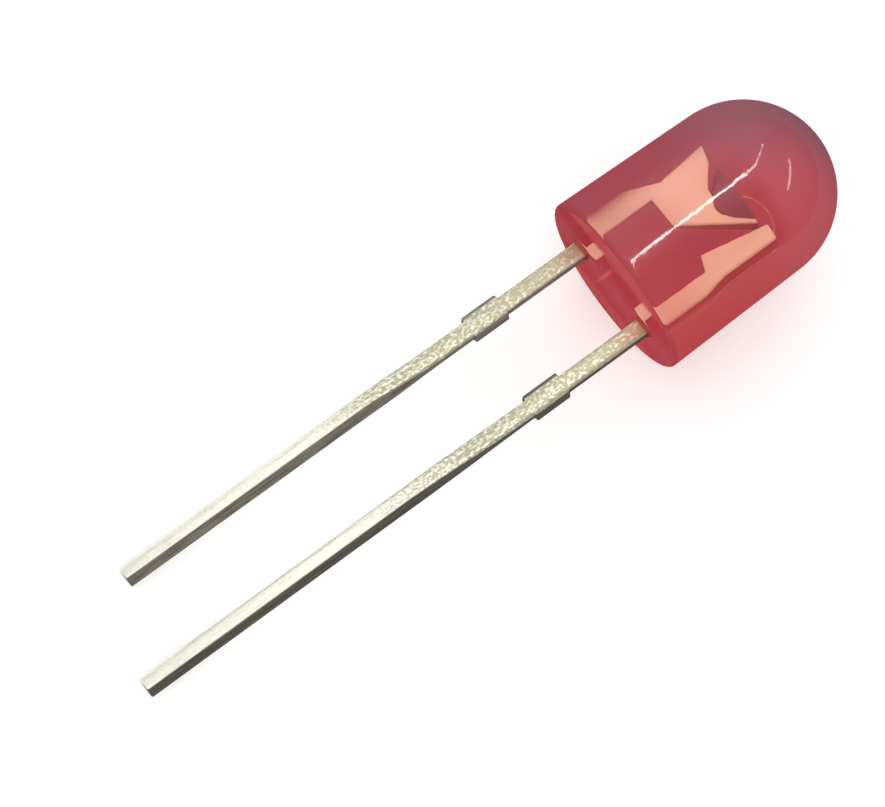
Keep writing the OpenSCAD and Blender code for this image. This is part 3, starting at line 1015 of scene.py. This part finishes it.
class LED_OT_stage(bpy.types.Operator):
    """Set the floor, the lamps and the camera"""

    bl_idname = "through_hole_led.stage"
    bl_label = "Stage"

    FLOOR_R = 1.5
    # level of the sky at the horizon, as a share of the sky overhead, the heights between which
    # it grows, and the brighter side
    HORIZON, SKY_HEIGHTS, SKY_LEAN = 0.45, (-0.05, 0.7), (-0.5, 0.1, 0.0)
    # two soft glows: the way each comes from, where it starts to show, and the lower one's level
    GLOW_FROM, GLOW_START = (0.0, 0.27, 0.96), 0.80
    LOW_GLOW_FROM, LOW_GLOW_START, LOW_GLOW = (0.35, 0.865, 0.36), 0.75, 0.85
    # the narrow lamps: name, two ends, width and share of the strips' brightness
    LAMPS = (
        ("strip_long", (0.078, 0.0735, 0.30), (0.245, 0.174, 0.30), 0.008, 1),
        ("strip_mid", (0.060, 0.058, 0.30), (0.078, 0.0735, 0.30), 0.0075, 1),
        ("strip_bend", (0.037, 0.027, 0.30), (0.060, 0.058, 0.30), 0.0075, 1),
        ("strip_turn", (0.0365, 0.0255, 0.30), (0.022, -0.027, 0.30), 0.007, 1),
        ("strip_leads", (-0.05, 0.073, 0.30), (0.015, 0.073, 0.30), 0.016, 0.04),
        ("strip_short", (0.372, -0.015, 0.30), (0.18, -0.21, 0.30), 0.016, 0.85),
    )
    CAMERA_AT = (-0.031888, -0.011152, 0.081708)
    CAMERA_AIM = (-0.005461, 0.000047, 0.0)
    CAMERA_ROLL = math.radians(31.132)

    def floor(self):
        """A round floor under the LED."""
        bm = bmesh.new()
        bmesh.ops.create_circle(bm, segments=96, radius=self.FLOOR_R, cap_ends=True)
        bmesh.ops.translate(bm, vec=(0, 0, CAD_BOX[0].z), verts=bm.verts[:])
        mesh = bpy.data.meshes.new("floor")
        bm.to_mesh(mesh)
        bm.free()
        mesh.materials.append(floor_finish())
        obj = bpy.data.objects.new("floor", mesh)
        bpy.context.scene.collection.objects.link(obj)

    def lamp(self, name, start, stop, width, brightness):
        """A flat lamp of that width between two points, facing the LED, for reflections alone."""
        start, stop = Vector(start), Vector(stop)
        middle = (start + stop) / 2
        long = (stop - start).normalized()
        back = (middle - long * middle.dot(long)).normalized()
        light = bpy.data.lights.new(name, "AREA")
        light.shape = "RECTANGLE"
        light.size, light.size_y = (stop - start).length, width
        # four times the area, so that every lamp shines alike whatever its size
        light.energy = 4 * brightness * light.size * light.size_y
        obj = bpy.data.objects.new(name, light)
        obj.matrix_world = Matrix.Translation(middle) @ Matrix(
            (long, back.cross(long), back)).transposed().to_4x4()
        obj.visible_diffuse = False
        bpy.context.scene.collection.objects.link(obj)

    def sky(self, level, glow):
        """Even light, darker at the horizon, with one soft glow overhead and one low."""
        world = bpy.data.worlds.new("Studio")
        bpy.context.scene.world = world
        w = Finish(world)
        way = w.node("ShaderNodeTexCoord", out="Generated")
        _, _, height = w.parts(way)
        near, low = (w.node("ShaderNodeVectorMath", {"operation": "DOT_PRODUCT"},
                            {0: way, 1: Vector(place).normalized()}, out="Value")
                     for place in (self.GLOW_FROM, self.LOW_GLOW_FROM))
        side = w.node("ShaderNodeVectorMath", {"operation": "DOT_PRODUCT"},
                      {0: way, 1: self.SKY_LEAN}, out="Value")
        even = height.step(*self.SKY_HEIGHTS) * (1 - self.HORIZON) + self.HORIZON
        strength = (even * (1 + side) * level + near.step(self.GLOW_START, 1.0) * glow
                    + low.step(self.LOW_GLOW_START, 1.0) * self.LOW_GLOW)
        light = w.node("ShaderNodeBackground", {},
                       {"Color": (1.0, 1.0, 1.0), "Strength": strength})
        w.output(light, kind="ShaderNodeOutputWorld")

    def camera(self, focal_length):
        """A long lens that looks down on the LED from the side of its leads."""
        data = bpy.data.cameras.new("camera")
        data.lens_unit = "MILLIMETERS"
        data.sensor_fit, data.sensor_width, data.lens = "HORIZONTAL", 36.0, focal_length
        data.clip_start, data.clip_end = 0.001, 10.0
        obj = bpy.data.objects.new("camera", data)
        at, aim = Vector(self.CAMERA_AT), Vector(self.CAMERA_AIM)
        obj.matrix_world = (Matrix.Translation(at)
                            @ (aim - at).to_track_quat("-Z", "Y").to_matrix().to_4x4()
                            @ Matrix.Rotation(self.CAMERA_ROLL, 4, "Z"))
        bpy.context.scene.collection.objects.link(obj)
        bpy.context.scene.camera = obj

    def execute(self, context):
        stage = context.scene.led_stage
        self.floor()
        self.sky(stage.sky, stage.glow)
        for name, start, stop, width, share in self.LAMPS:
            self.lamp(name, start, stop, width, share * stage.strip)
        self.camera(stage.focal_length)
        context.scene.view_settings.view_transform = "Standard"
        return {"FINISHED"}


PIECES = (LED_OT_lens, LED_OT_leads, LED_OT_chip, LED_OT_bond_wire, LED_OT_stage)


class LED_PT_panel(bpy.types.Panel):
    """Lists the LED's sizes and colours and the pieces that can be built"""

    bl_idname = "LED_PT_panel"
    bl_label = "Through-hole LED"
    bl_space_type = "VIEW_3D"
    bl_region_type = "UI"
    bl_category = "LED"

    def draw(self, context):
        for name, group in SETTINGS.items():
            box = self.layout.box()
            for prop in group.__annotations__:
                box.prop(getattr(context.scene, name), prop)
        for piece in PIECES:
            self.layout.operator(piece.bl_idname)


def register():
    """Makes the settings, the pieces and the panel known."""
    for cls in (*SETTINGS.values(), *PIECES, LED_PT_panel):
        bpy.utils.register_class(cls)
    for name, group in SETTINGS.items():
        setattr(bpy.types.Scene, name, bpy.props.PointerProperty(type=group))


def unregister():
    """Takes back what register did."""
    for name in SETTINGS:
        delattr(bpy.types.Scene, name)
    for cls in (LED_PT_panel, *reversed(PIECES), *reversed(list(SETTINGS.values()))):
        bpy.utils.unregister_class(cls)


def main():
    """Builds every piece and the stage."""
    register()
    for piece in PIECES:
        group, name = piece.bl_idname.split(".")
        getattr(getattr(bpy.ops, group), name)()


if __name__ == "__main__":
    main()
